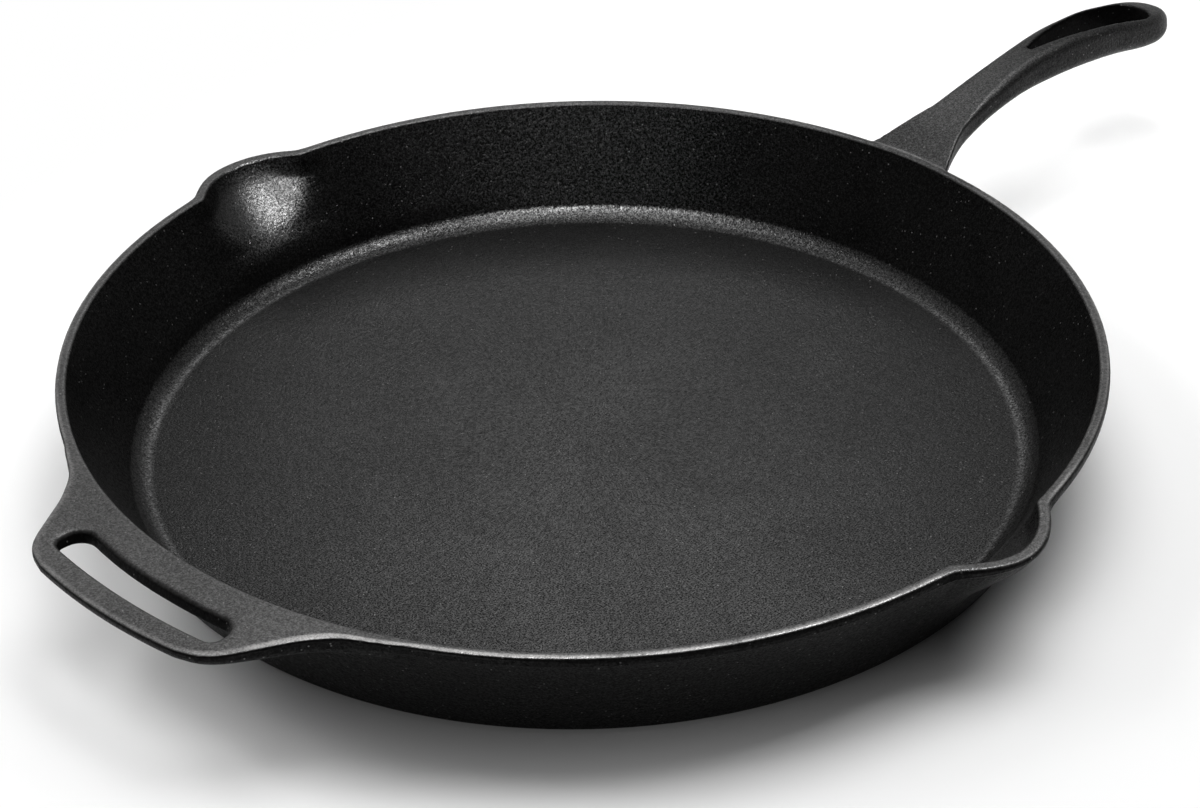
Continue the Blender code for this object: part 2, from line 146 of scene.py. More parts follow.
# grid lines as runs of (from, to, spacing); angles in degrees from +X
ANGLE_RUNS = (
    (-GRIP_DEGREES, GRIP_DEGREES, 0.41), (GRIP_DEGREES, 78.0, 2.3), (78.0, 102.0, 0.42),
    (102.0, 155.0, 2.3), (155.0, 205.0, 0.42), (205.0, 258.0, 2.3), (258.0, 282.0, 0.42),
    (282.0, 351.0, 2.3),
)
RADIUS_RUNS = (
    (0.155, 0.172, 0.0085), (0.172, 0.182, 0.00125), (0.182, 0.200, 0.0012),
    (0.200, BOWL_REACH, 0.00055), (BOWL_REACH, LIP_REACH, 0.0010),
    (LIP_REACH, PLATE_REACH, 0.0010), (PLATE_REACH, 0.362, 0.0020), (0.362, 0.388, 0.0013),
    (0.388, 0.3964, 0.0007),
)
HEIGHT_RUNS = (
    (-0.0011, 0.0039, 0.0009), (0.0039, 0.0111, 0.0009), (0.0111, 0.0220, 0.0018),
    (0.0220, 0.0416, 0.0012), (0.0416, 0.0457, 0.0008), (0.0457, 0.0523, 0.0005),
    (0.0523, 0.0733, 0.0009),
)
DISC_RADII = (0.105, 0.055, 0.018)   # rings of the flat floor and underside

GRADIENT_STEP = 5e-5
MOST_MOVE, MOST_DRIFT = 0.0008, 0.0012   # a vertex's limits, in one round and in all


# ---- small maths -------------------------------------------------------------------------
def curve(keys, at):
    """Catmull-Rom through (position, value) keys, held flat outside them."""
    places, values = keys[:, 0], keys[:, 1]
    at = np.clip(at, places[0], places[-1])
    slopes = np.empty(len(places))
    slopes[1:-1] = (values[2:] - values[:-2]) / (places[2:] - places[:-2])
    slopes[0] = (values[1] - values[0]) / (places[1] - places[0])
    slopes[-1] = (values[-1] - values[-2]) / (places[-1] - places[-2])
    i = np.clip(np.searchsorted(places, at, side="right") - 1, 0, len(places) - 2)
    run = places[i + 1] - places[i]
    share = (at - places[i]) / run
    return (
        (2 * share**3 - 3 * share**2 + 1) * values[i]
        + (share**3 - 2 * share**2 + share) * slopes[i] * run
        + (3 * share**2 - 2 * share**3) * values[i + 1]
        + (share**3 - share**2) * slopes[i + 1] * run
    )


def ramp(value, low, high):
    """Smooth step from 0 at low to 1 at high."""
    share = np.clip((value - low) / (high - low), 0.0, 1.0)
    return share * share * (3 - 2 * share)


def both(first, second, radius):
    """Intersection with a rounded outside edge."""
    return np.minimum(-radius, np.maximum(first, second)) + np.hypot(
        np.maximum(radius + first, 0), np.maximum(radius + second, 0)
    )


def either(first, second, radius):
    """Union with a fillet."""
    return np.maximum(radius, np.minimum(first, second)) - np.hypot(
        np.maximum(radius - first, 0), np.maximum(radius - second, 0)
    )


def polygon_distance(x, y, corners):
    """Signed distance to a closed polygon in plan, negative inside."""
    nearest = np.full(x.shape, 1e9)
    inside = np.zeros(x.shape, bool)
    for (start_x, start_y), (end_x, end_y) in zip(corners, np.roll(corners, -1, axis=0)):
        edge_x, edge_y = end_x - start_x, end_y - start_y
        from_x, from_y = x - start_x, y - start_y
        along = (from_x * edge_x + from_y * edge_y) / (edge_x * edge_x + edge_y * edge_y)
        along = np.clip(along, 0, 1)
        square = (from_x - along * edge_x) ** 2 + (from_y - along * edge_y) ** 2
        nearest = np.minimum(nearest, square)
        crosses = (start_y > y) != (end_y > y)
        if edge_y != 0:
            inside ^= crosses & (x < start_x + (y - start_y) * edge_x / edge_y)
    return np.where(inside, -1, 1) * np.sqrt(nearest)


def round_corner(before, here, after, radius, steps=8):
    """Points of the arc that replaces a corner of an outline."""
    before, here, after = (np.array(point, float) for point in (before, here, after))
    back = (before - here) / np.linalg.norm(before - here)
    ahead = (after - here) / np.linalg.norm(after - here)
    half = math.acos(np.clip(back @ ahead, -1, 1)) / 2
    middle = (back + ahead) / np.linalg.norm(back + ahead)
    centre = here + middle * radius / math.sin(half)
    start = here + back * radius / math.tan(half) - centre
    end = here + ahead * radius / math.tan(half) - centre
    first = math.atan2(start[1], start[0])
    last = math.atan2(end[1], end[0])
    turn = (last - first + math.pi) % (2 * math.pi) - math.pi
    angles = [first + turn * step / steps for step in range(steps + 1)]
    return [centre + radius * np.array([math.cos(a), math.sin(a)]) for a in angles]


# ---- plan outlines of the handles and their holes ----------------------------------------
def plate_outline():
    flank_end, end_half = PLATE_SIDE[-1]
    xs = np.linspace(PLATE_SIDE[0, 0], flank_end, 46)
    side = [(-x, y) for x, y in zip(xs, curve(PLATE_SIDE, xs))]
    reach = PLATE_TIP - flank_end
    for share in np.linspace(0.94, 0.0, 16):
        side.append((-(PLATE_TIP - reach * share**2), end_half * share))
    side = np.array(side)
    other = side[-2::-1] * [1, -1]
    side[:, 1] += curve(PLATE_EXTRA, -side[:, 0]) * ramp(side[:, 1], 0.0, 0.03)
    # closed well inside the bowl's wall, where it is lost in the union
    return np.concatenate([[(-0.170, 0.0918)], side, other, [(-0.170, -0.0918)]])


def slot_outline():
    shares = np.linspace(-1, 1, 15)
    ring = [
        (-(SLOT_INNER - (SLOT_BOW_INNER if s > 0 else SLOT_BOW) * s * s),
         SLOT_Y + SLOT_HALF_LENGTH * s)
        for s in shares
    ]
    ring += [
        (-(SLOT_OUTER - SLOT_BOW * s * s), SLOT_Y + SLOT_HALF_LENGTH * s)
        for s in shares[::-1]
    ]
    corner_radii = {0: 0.0072, 14: 0.0072, 15: 0.0050, 29: 0.0046}
    points = []
    for i, point in enumerate(ring):
        if i in corner_radii:
            after = ring[(i + 1) % len(ring)]
            points += round_corner(ring[i - 1], point, after, corner_radii[i])
        else:
            points.append(np.array(point))
    kept = [points[0]]
    for point in points[1:]:
        if np.linalg.norm(point - kept[-1]) > 2e-5:
            kept.append(point)
    return np.array(kept)


def teardrop_outline():
    widest = HOLE_END - 0.0112
    run = widest - HOLE_START
    keys = np.array([
        (HOLE_START + run * share, HOLE_HALF_WIDTH * wide) for share, wide in TEARDROP_SIDE
    ])
    xs = HOLE_START + run * np.linspace(0, 1, 30) ** 1.4
    side = [(x, y) for x, y in zip(xs, curve(keys, xs))]
    for angle in np.radians(np.arange(10, 90, 10)):
        x = widest + (HOLE_END - widest) * math.sin(angle)
        side.append((x, HOLE_HALF_WIDTH * math.cos(angle)))
    side = np.array(side)
    return np.concatenate([side, [(HOLE_END, 0.0)], side[::-1] * [1, -1]])


PLATE, SLOT, TEARDROP = plate_outline(), slot_outline(), teardrop_outline()


# ---- the casting as a signed distance ----------------------------------------------------
def from_lip(x, y):
    """Distance along X from the middle of the lip on this side."""
    return x - np.where(y > 0, *LIP_X)


def lip_push(x, y, drop, out, half_width, depth, soft):
    """How far a lip pushes the wall outwards, at a drop below the rim."""
    x = from_lip(x, y)
    half_width = half_width - np.where(y > 0, 0.0, 0.0011)
    reach = out * (1 - (x / half_width) ** 2 - (drop / depth) ** 2)
    soft = soft + 0.0017 * ramp(drop, 0.001, 0.010) * (1 - ramp(drop, 0.026, 0.036))
    pushed = (reach + np.sqrt(reach * reach + 4 * soft * soft)) / 2
    fade = np.clip((0.040 - np.abs(x)) / 0.008, 0, 1) * np.clip((0.040 - drop) / 0.008, 0, 1)
    return pushed * fade * ramp(np.abs(y), 0.12, 0.15)


def outer_wall(x, y, z):
    """The bowl's outside, carried on upwards past the rim."""
    drop = np.maximum(RIM_Z - z, 0)
    push = lip_push(
        x, y, drop, out=LIP_OUT, half_width=LIP_HALF_WIDTH + 0.0007,
        depth=LIP_DEPTH + 0.002, soft=0.0010,
    )
    radius = np.hypot(x, np.abs(y) - push)
    at_lip = ramp(0.034 - np.abs(from_lip(x, y)), 0.0, 0.016) * ramp(np.abs(y), 0.15, 0.17)
    fuller = 0.0008 * at_lip * ramp(z, 0.030, BAND_Z)
    cone = (radius - BASE_RADIUS - OUTER_SLOPE * z - fuller) * OUTER_COS
    wall = both(cone, radius - RIM_RADIUS, 0.0003)
    band = both(radius - RIM_RADIUS, BAND_Z - z, 0.0005)
    return either(both(wall, -z, BASE_BLEND), band, 0.0004)


def cavity(x, y, z):
    """The space inside the bowl."""
    drop = np.maximum(RIM_Z - z, 0)
    push = lip_push(
        x, y, drop, out=LIP_OUT - 0.0005, half_width=LIP_HALF_WIDTH - 0.0013,
        depth=LIP_DEPTH, soft=0.0004,
    )
    radius = np.hypot(x, np.abs(y) - push)
    wall = (radius - CAVITY_FOOT - CAVITY_SLOPE * z) * CAVITY_COS
    return both(wall, FLOOR_Z - z, FLOOR_BLEND)


def rim_height(x, y):
    dip = np.exp(-((from_lip(x, y) / 0.018) ** 2))
    return RIM_Z - LIP_DIP * dip * ramp(np.abs(y), 0.15, 0.18)


def plate_body(x, y, z):
    """The plate, carried on upwards past its top."""
    share = np.clip((-x - PLATE_START) / (PLATE_TIP - PLATE_START), 0, 1)
    under = RIM_Z - PLATE_ROOT + (PLATE_ROOT - PLATE_THIN) * share
    return both(polygon_distance(x, y, PLATE), under - z, 0.0026)


def slot_hole(x, y, z):
    """The slot, narrowing towards its underside."""
    return polygon_distance(x, y, SLOT) + SLOT_TAPER * (RIM_Z - z)


def grip(x, y, z):
    """The long handle without its hole."""
    tip_run = GRIP_TIP - GRIP_ROUND
    turn = np.sqrt(np.clip(1 - ((x - GRIP_ROUND) / tip_run) ** 2, 0, 1))
    turn = np.where(x > GRIP_ROUND, turn, 1.0)
    half = curve(GRIP_HALF, np.minimum(x, GRIP_ROUND))
    top = curve(GRIP_TOP, x) - 0.002 * (1 - turn)
    thick = curve(GRIP_THICK, x) * (0.45 + 0.55 * turn)

    # the sides spread a little towards the underside
    lean = 0.0011 * ramp(x, 0.215, 0.245)
    height = np.clip((top - z) / thick, 0, 1)
    wide = half - lean * (1 - np.minimum(height / 0.62, 1.0))
    # in plan: parallel to the curve of half widths, then the elliptical end
    past = np.maximum(x - GRIP_ROUND, 0) / tip_run
    reach = np.hypot(past, y / wide)
    steep = np.hypot(past / tip_run, y / wide**2) / np.maximum(reach, 1e-6)
    rounded = (reach - 1) / np.maximum(steep, 1.0)
    plan = np.where(x > GRIP_ROUND, rounded, np.abs(y) - wide)

    # a crowned top, and a belly that deepens towards the bowl
    slope = np.where(x < 0.235, 0.93, 0.985)
    crown = np.where(x > 0.235, 0.0007, 0.0003) * np.minimum((y / half) ** 2, 1.5)
    upper = (z - top + crown) * slope
    bulge = np.clip(1 - (y / half) ** 2, 0, 1)
    root = np.clip((0.235 - x) / 0.035, 0, 1)
    lower = (top - thick - 0.0007 * bulge - 0.0065 * root**2 * bulge - z) * slope

    upper_edge = np.minimum(0.0044, 0.0012 + np.maximum(0, x - 0.228) * 0.075)
    upper_edge = np.minimum(upper_edge, thick * 0.34)
    lower_edge = np.minimum(np.minimum(0.0045, half * 0.45), thick * 0.42)
    return both(both(plan, upper, upper_edge), lower, lower_edge)


def near_slot(x, y):
    return (x < -0.205) & (np.abs(y) < 0.052)


def near_hole(x, y):
    return (x > 0.285) & (np.abs(y) < 0.018)


def bowl_and_plate(x, y, z):
    """The outsides of the bowl and the plate, filleted together."""
    total = outer_wall(x, y, z)
    near = x < -0.165
    plate = plate_body(x[near], y[near], z[near])
    total[near] = either(total[near], plate, PLATE_FILLET)
    return total


def casting(x, y, z):
    total = bowl_and_plate(x, y, z)
    edge = EDGE_PLATE + (EDGE_OUTER - EDGE_PLATE) * ramp(x, -0.185, -0.145)
    total = both(total, z - rim_height(x, y), edge)

    near = (x > 0.195) & (np.abs(y) < 0.045)
    fillet = 0.0006 + 0.0034 * ramp(RIM_Z - 0.0012 - z[near], 0.0, 0.0040)
    total[near] = either(total[near], grip(x[near], y[near], z[near]), fillet)

    total = both(total, -cavity(x, y, z), EDGE_INNER)

    near = near_slot(x, y)
    total[near] = both(total[near], -slot_hole(x[near], y[near], z[near]), 0.0020)
    near = near_hole(x, y)
    total[near] = both(total[near], -polygon_distance(x[near], y[near], TEARDROP), 0.0013)
    return total


# ---- meshing -----------------------------------------------------------------------------
def grid_lines(runs):
    """Positions of (from, to, spacing) runs joined end to end."""
    lines = [runs[0][0]]
    for low, high, spacing in runs:
        count = max(1, int(round((high - low) / spacing)))
        lines += list(low + (high - low) * np.arange(1, count + 1) / count)
    return np.array(lines)


def plan_grid(angles, radii):
    """Plan positions of the grid, and which of them can hold iron.

    The grid is polar, but the columns of the long handle run parallel.
    """
    angle, radius = np.meshgrid(angles, radii, indexing="ij")
    turned = (angle + math.pi) % (2 * math.pi) - math.pi
    x, y = radius * np.cos(angle), radius * np.sin(angle)
    at_grip = np.abs(turned) <= GRIP_ANGLE + 1e-9
    share = ramp(radius, BOWL_REACH, 0.240) * at_grip
    across = turned / GRIP_ANGLE * GRIP_GRID_HALF
    x, y = x * (1 - share) + radius * share, y * (1 - share) + across * share

    at_plate = np.abs(turned) >= math.radians(154.9)
    at_lip = np.abs(np.abs(turned) - math.radians(90)) <= math.radians(12.1)
    margin = 0.0002
    needed = (radius < BOWL_REACH + margin) | at_grip | at_plate
    needed |= at_lip & (radius < LIP_REACH + margin)
    needed &= (radius < PLATE_REACH + margin) | at_grip
    return x, y, needed


# For grid edges along angle, radius and height: how many cells the edge touches along
# each direction, and the offsets of the four cells round it.
EDGE_CELLS = (
    ((1, 2, 2), ((0, -1, -1), (0, 0, -1), (0, 0, 0), (0, -1, 0))),
    ((2, 1, 2), ((-1, 0, -1), (-1, 0, 0), (0, 0, 0), (0, 0, -1))),
    ((2, 2, 1), ((-1, -1, 0), (0, -1, 0), (0, 0, 0), (-1, 0, 0))),
)


def ends_along(values, axis):
    """Values at the start and at the end of each grid edge; the angles close up."""
    if axis == 0:
        return values, np.roll(values, -1, axis=0)
    if axis == 1:
        return values[:, :-1], values[:, 1:]
    return values[:, :, :-1], values[:, :, 1:]


def crossings(field, places, axis):
    """Which edges cross the surface, and where."""
    start, end = ends_along(field, axis)
    place, next_place = ends_along(places, axis)
    hit = (start < 0) != (end < 0)
    share = np.where(hit, start / np.where(hit, start - end, 1), 0)
    return hit, place + (next_place - place) * share[..., None]


def mesh_casting():
    """Vertices, quads, each cell's vertex number and the grid's heights."""
    angles = np.radians(grid_lines(ANGLE_RUNS))[:-1]
    radii, heights = grid_lines(RADIUS_RUNS), grid_lines(HEIGHT_RUNS)
    plan_x, plan_y, needed = plan_grid(angles, radii)
    shape = (len(angles), len(radii), len(heights))
    field = np.full(shape, 0.01)
    i, j = np.nonzero(needed)
    for k, z in enumerate(heights):
        field[i, j, k] = casting(plan_x[i, j], plan_y[i, j], np.full(len(i), z))
    places = np.empty(shape + (3,))
    places[..., 0], places[..., 1] = plan_x[..., None], plan_y[..., None]
    places[..., 2] = heights
    inside = field < 0

    # a cell's vertex is the mean of the crossings on its edges
    rows, layers = shape[1] - 1, shape[2] - 1
    total = np.zeros((shape[0], rows, layers, 3))
    hits = np.zeros((shape[0], rows, layers))
    edge_hits = []
    for axis, (spans, _) in enumerate(EDGE_CELLS):
        hit, place = crossings(field, places, axis)
        edge_hits.append(hit)
        for di, dj, dk in np.ndindex(*spans):
            part = np.s_[:, dj:rows + dj, dk:layers + dk]
            touched = np.roll(hit, -di, axis=0)[part]
            total += np.roll(place, -di, axis=0)[part] * touched[..., None]
            hits += touched
    cells = hits > 0
    index = np.full(cells.shape, -1, np.int64)
    index[cells] = np.arange(cells.sum())
    verts = total[cells] / hits[cells][:, None]

    # a crossed edge makes a quad of the four cells round it
    quads = []
    for hit, (spans, offsets) in zip(edge_hits, EDGE_CELLS):
        skip_j, skip_k = spans[1] - 1, spans[2] - 1
        inner = hit[:, skip_j:hit.shape[1] - skip_j, skip_k:hit.shape[2] - skip_k]
        i, j, k = np.nonzero(inner)
        j, k = j + skip_j, k + skip_k
        quad = np.stack([index[i + di, j + dj, k + dk] for di, dj, dk in offsets], axis=-1)
        flip = inside[i, j, k]
        quad[flip] = quad[flip][:, ::-1]
        quads.append(quad)
    return verts, np.concatenate(quads), index, heights


def gradient(points):
    slopes = np.empty_like(points)
    for axis in range(3):
        ahead, behind = points.copy(), points.copy()
        ahead[:, axis] += GRADIENT_STEP
        behind[:, axis] -= GRADIENT_STEP
        slopes[:, axis] = casting(*ahead.T) - casting(*behind.T)
    return slopes / (2 * GRADIENT_STEP)


def limited(moves, most):
    """Moves shortened to at most the given length."""
    length = np.linalg.norm(moves, axis=1)
    return moves * np.minimum(1, most / np.maximum(length, 1e-12))[:, None]


def onto_surface(points, rounds=3):
    start = points.copy()
    for _ in range(rounds):
        slopes = gradient(points)
        square = np.maximum((slopes * slopes).sum(1), 0.05)
        move = -(casting(*points.T) / square)[:, None] * slopes
        points = points + limited(move, MOST_MOVE)
    return start + limited(points - start, MOST_DRIFT)


def close_ring(verts, ring, z, facing_up):
    """Flattens an open ring to z and fills it; returns all vertices and the new faces."""
    verts[ring, 2] = z
    edge = verts[ring]
    edge_radius = np.hypot(edge[:, 0], edge[:, 1]).mean()
    parts, faces = [verts], []
    base, last = len(verts), ring
    for radius in DISC_RADII:
        share = radius / edge_radius
        parts.append(edge * [share, share, 1])
        circle = base + np.arange(len(ring))
        base += len(ring)
        corners = [last, np.roll(last, -1), np.roll(circle, -1), circle]
        faces.append(np.stack(corners, axis=1))
        last = circle
    parts.append(np.array([[0.0, 0.0, z]]))
    centre = np.full(len(ring), base)
    faces.append(np.stack([last, np.roll(last, -1), centre], axis=1))
    if not facing_up:
        faces = [group[:, ::-1] for group in faces]
    return np.concatenate(parts), faces


# ---- where the surface differs, as vertex attributes -------------------------------------
def cooking_side(points):
    """1 on the floor and walls inside the bowl, 0 on the rim's top and outside."""
    x, y, z = points.T
    near = 1 - ramp(np.abs(cavity(x, y, z)), 0.0002, 0.0006)
    return near * (1 - ramp(z, RIM_Z - 0.0012, RIM_Z - 0.0002)) * ramp(z, 0.001, 0.003)


def recess(points, normals):
    """1 on the walls of the slot and of the teardrop hole, which the material darkens as
    painted shade.
    """
    x, y, z = points.T
    value = np.zeros(len(points))
    near = near_slot(x, y)
    value[near] = 1 - ramp(slot_hole(x[near], y[near], z[near]), 0.0008, 0.0020)
    near = near_hole(x, y)
    value[near] = 1 - ramp(polygon_distance(x[near], y[near], TEARDROP), 0.0004, 0.0014)
    return value * (1 - ramp(normals[:, 2], 0.70, 0.95))


def rubbing_and_highlight(points, normals):
    """How far the surface is worn, partly a painted highlight: along the outside of the rim's
    and the plate's top.
    """
    x, y, z = points.T
    depth = -bowl_and_plate(x, y, z)
    radius = np.maximum(np.hypot(x, y), 0.05)
    # hardest on the side towards -X and -Y, the camera's side, where it is partly a painted
    # highlight
    near_side = ramp(-(0.53 * x + 0.85 * y) / radius, 0.62, 0.80)
    band = ramp(depth, 0.0002, 0.0008)
    fade_from, fade_to = 0.0014 + 0.0010 * near_side, 0.0027 + 0.0008 * near_side
    band = band * (1 - ramp(depth, fade_from, fade_to))
    band = band * ramp(normals[:, 2], 0.72, 0.90) * ramp(z, RIM_Z - 0.004, RIM_Z - 0.002)
    # the painted highlight is weaker towards the -Y lip and at both lips
    towards_lip = ramp(-y / radius, 0.72, 0.90)
    amount = 0.16 + 0.84 * near_side * (1 - 0.55 * towards_lip)
    at_lip = ramp(0.036 - np.abs(from_lip(x, y)), 0.0, 0.010) * ramp(np.abs(y), 0.17, 0.19)
    amount = amount * (1 - 0.95 * at_lip)
    amount = np.where(x > 0.2095, 0.0, amount)
    return band * np.where(recess(points, normals) > 0.0, 0.0, amount)


def polish(points):
    """Shinier in the hollows of the lips, duller on the floor's fillet below them."""
    x, y, z = points.T
    drop = np.maximum(RIM_Z - z, 0)
    across = from_lip(x, y) / (LIP_HALF_WIDTH - 0.001)
    hollow = 1 - ramp(across**2 + (drop / LIP_DEPTH) ** 2, 0.40, 1.10)
    hollow = hollow * ramp(np.abs(y), 0.15, 0.17) * ramp(drop, 0.003, 0.009)
    dull = ramp(np.abs(y), 0.138, 0.168)
    dull = dull * (1 - ramp(z, 0.012, 0.018)) * ramp(z, 0.0046, 0.0060)
    return 0.33 * hollow - 0.62 * dull


def build_casting():
    verts, quads, index, heights = mesh_casting()
    verts = onto_surface(verts)
    polygons = quads.tolist()
    for z, facing_up in ((0.0, False), (FLOOR_Z, True)):
        layer = int(np.searchsorted(heights, z, side="right") - 1)
        verts, faces = close_ring(verts, index[:, 0, layer], z, facing_up)
        for group in faces:
            polygons += group.tolist()
    mesh = bpy.data.meshes.new("skillet_casting")
    mesh.from_pydata(verts.tolist(), [], polygons)
    mesh.validate()
    mesh.update()
    normals = gradient(verts)
    normals /= np.maximum(np.linalg.norm(normals, axis=1), 1e-9)[:, None]
    mesh.shade_smooth()
    mesh.normals_split_custom_set_from_vertices(normals.tolist())
    cooking = cooking_side(verts)
    attributes = {
        "rubbed_and_highlight": rubbing_and_highlight(verts, normals),
        "recess": recess(verts, normals),
        "cooking": cooking,
        "polish": polish(verts) * cooking,
        "upward": normals[:, 2],
    }
    for name, values in attributes.items():
        made = mesh.attributes.new(name, "FLOAT", "POINT")
        made.data.foreach_set("value", np.clip(values, -1.0, 1.0).astype(np.float32))
    obj = bpy.data.objects.new("skillet_casting", mesh)
    bpy.context.scene.collection.objects.link(obj)
    return obj


# ---- material ----------------------------------------------------------------------------
class Nodes:
    """Short ways to add shader nodes; an input is a value or another node's output."""

    def __init__(self, tree):
        self.tree = tree

    def put(self, kind, slots=None, **settings):
        made = self.tree.nodes.new(kind)
        for key, value in settings.items():
            setattr(made, key, value)
        for key, value in (slots or {}).items():
            if isinstance(value, bpy.types.NodeSocket):
                self.tree.links.new(value, made.inputs[key])
            else:
                made.inputs[key].default_value = value
        return made

    def math(self, operation, first, second, third=0.0):
        slots = {0: first, 1: second, 2: third}
        return self.put("ShaderNodeMath", slots, operation=operation).outputs[0]

    def add(self, first, second):
        return self.math("ADD", first, second)

    def times(self, first, *others):
        for other in others:
            first = self.math("MULTIPLY", first, other)
        return first

    def remap(self, value, span, to=(0.0, 1.0)):
        """The span taken smoothly to another, and held outside."""
        slots = {0: value, 1: span[0], 2: span[1], 3: to[0], 4: to[1]}
        made = self.put("ShaderNodeMapRange", slots, interpolation_type="SMOOTHSTEP")
        return made.outputs[0]

    def mix(self, share, low, high):
        """low to high by share."""
        return self.math("MULTIPLY_ADD", self.math("SUBTRACT", high, low), share, low)

    def noise(self, where, scale, detail, rough=0.55):
        slots = {"Vector": where, "Scale": scale, "Detail": detail, "Roughness": rough}
        return self.put("ShaderNodeTexNoise", slots).outputs[0]

    def attribute(self, name):
        return self.put("ShaderNodeAttribute", attribute_name=name).outputs["Fac"]

    def axis(self, where, name):
        return self.put("ShaderNodeSeparateXYZ", {0: where}).outputs[name]


MIDDLE = (0.3, 0.7)         # the range most of a noise lies in
FLAT = (0.97, 0.999)        # upward part of the normal, from nearly level to level


def iron_patterns(nodes):
    """The masks and noises that the iron's colour, shine and bump are made of."""
    where = nodes.put("ShaderNodeTexCoord").outputs["Object"]
    made = SimpleNamespace(
        rubbed_and_highlight=nodes.attribute("rubbed_and_highlight"),
        smooth=nodes.attribute("polish"),
        shaded_recess=nodes.attribute("recess"),
        inside=nodes.attribute("cooking"),
        upward=nodes.attribute("upward"),
        along=nodes.axis(where, "X"),
        across=nodes.axis(where, "Y"),
        fine=nodes.noise(where, scale=1500.0, detail=1.0),    # grains of about 0.6 mm
        grain=nodes.noise(where, scale=760.0, detail=2.0),    # about 1.3 mm
        skin=nodes.noise(where, scale=130.0, detail=3.0),     # slow swells, 8 mm
        patch=nodes.noise(where, scale=16.0, detail=4.0, rough=0.6),   # blotches, 60 mm
    )
    top = nodes.remap(made.upward, span=(0.30, 0.85))
    # tops of the bowl and the plate, fading out at the long handle
    made.plate = nodes.times(top, nodes.remap(made.along, span=(0.207, 0.199)))
    # 1 on the long handle
    made.held = nodes.remap(made.along, span=(0.206, 0.214))

    # bright specks and pits at the centres of a few cells, drawn by the cells' colour
    cells = nodes.put("ShaderNodeTexVoronoi", {"Vector": where, "Scale": 520.0})
    distance = cells.outputs["Distance"]
    drawn = nodes.put("ShaderNodeSeparateColor", {0: cells.outputs["Color"]}).outputs["Red"]
    made.speck = nodes.times(
        nodes.remap(distance, span=(0.10, 0.24), to=(1.0, 0.0)),
        nodes.remap(drawn, span=(0.82, 0.95)),
    )
    made.pit = nodes.times(
        nodes.remap(distance, span=(0.10, 0.30), to=(1.0, 0.0)),
        nodes.remap(drawn, span=(0.12, 0.05)),
    )

    # wear and painted highlight, broken up along its length
    breaks = nodes.noise(where, scale=85.0, detail=5.0, rough=0.7)
    made.worn = nodes.times(
        made.rubbed_and_highlight,
        nodes.remap(breaks, span=(0.30, 0.58), to=(0.25, 1.0)),
        nodes.remap(made.fine, span=(0.30, 0.60), to=(0.55, 1.0)),
    )
    return made


def iron_colour(nodes, iron):
    """Near black, brighter on the tops, in the specks and most of all where worn, partly a
    painted highlight.
    """
    outside = nodes.mix(iron.plate, low=0.0035, high=0.030)
    grey = nodes.times(
        nodes.mix(iron.inside, low=outside, high=0.0032),
        nodes.remap(iron.patch, span=MIDDLE, to=(0.75, 1.3)),
        nodes.remap(iron.grain, span=MIDDLE, to=(0.7, 1.35)),
    )
    grey = nodes.add(grey, nodes.times(iron.speck, 0.07))
    # painted highlight: the worn edges turn light grey, most on the camera's side
    grey = nodes.mix(iron.worn, low=grey, high=0.60)
    # a trace warmer than grey
    slots = {"Red": grey, "Green": nodes.times(grey, 0.985), "Blue": nodes.times(grey, 0.975)}
    return nodes.put("ShaderNodeCombineColor", slots).outputs[0]


def iron_roughness(nodes, iron):
    rough = nodes.mix(iron.inside, low=0.42, high=0.35)
    rough = nodes.add(rough, nodes.remap(iron.patch, span=MIDDLE, to=(-0.03, 0.03)))
    rough = nodes.add(rough, nodes.remap(iron.grain, span=MIDDLE, to=(0.04, -0.04)))
    return nodes.mix(iron.worn, low=rough, high=0.36)


def iron_shine(nodes, iron):
    """Specular level: low on walls and undersides, high on the tops."""
    mix, remap, times = nodes.mix, nodes.remap, nodes.times
    upward, held, inside = iron.upward, iron.held, iron.inside

    # outside: undersides to sides, then sides to tops; the long handle is more even
    side_ends = (mix(held, low=0.10, high=0.14), mix(held, low=0.03, high=0.14))
    sides = remap(upward, span=(-0.12, 0.10), to=side_ends)
    top_span = (mix(held, low=0.60, high=0.20), mix(held, low=0.96, high=0.90))
    outer = remap(upward, span=top_span, to=(sides, mix(iron.plate, low=0.80, high=0.95)))
    # painted shade: the walls of the slot and of the hole reflect little
    outer = mix(iron.shaded_recess, low=outer, high=0.05)

    # inside: wall to fillet, then the flat floor
    fillet = remap(upward, span=(0.46, 0.62), to=(0.125, 0.84))
    inner = mix(remap(upward, span=FLAT), low=fillet, high=0.52)
    inner = nodes.math("MULTIPLY_ADD", inner, iron.smooth, inner)
    shine = mix(inside, low=outer, high=inner)

    # coarser grain inside, towards -X and -Y and on the walls
    near = times(remap(nodes.add(iron.along, iron.across), span=(0.04, -0.20)), inside)
    wall = times(
        inside,
        remap(upward, span=FLAT, to=(1.0, 0.0)),
        remap(upward, span=(0.50, 0.72), to=(0.9, 0.45)),
        remap(iron.smooth, span=(0.02, 0.25), to=(1.0, 0.15)),
    )
    grit = mix(
        nodes.math("MAXIMUM", near, wall),
        low=remap(iron.fine, span=(0.25, 0.75), to=(0.4, 1.6)),
        high=remap(iron.fine, span=(0.28, 0.75), to=(0.0, 2.5)),
    )
    sandy = mix(
        wall,
        low=remap(iron.grain, span=MIDDLE, to=(0.75, 1.25)),
        high=remap(iron.grain, span=MIDDLE, to=(0.30, 1.9)),
    )
    shine = times(shine, grit, sandy, remap(iron.patch, span=MIDDLE, to=(1.08, 0.92)))
    speck_share = mix(wall, low=mix(near, low=0.5, high=1.3), high=0.15)
    return nodes.add(shine, times(iron.speck, speck_share))


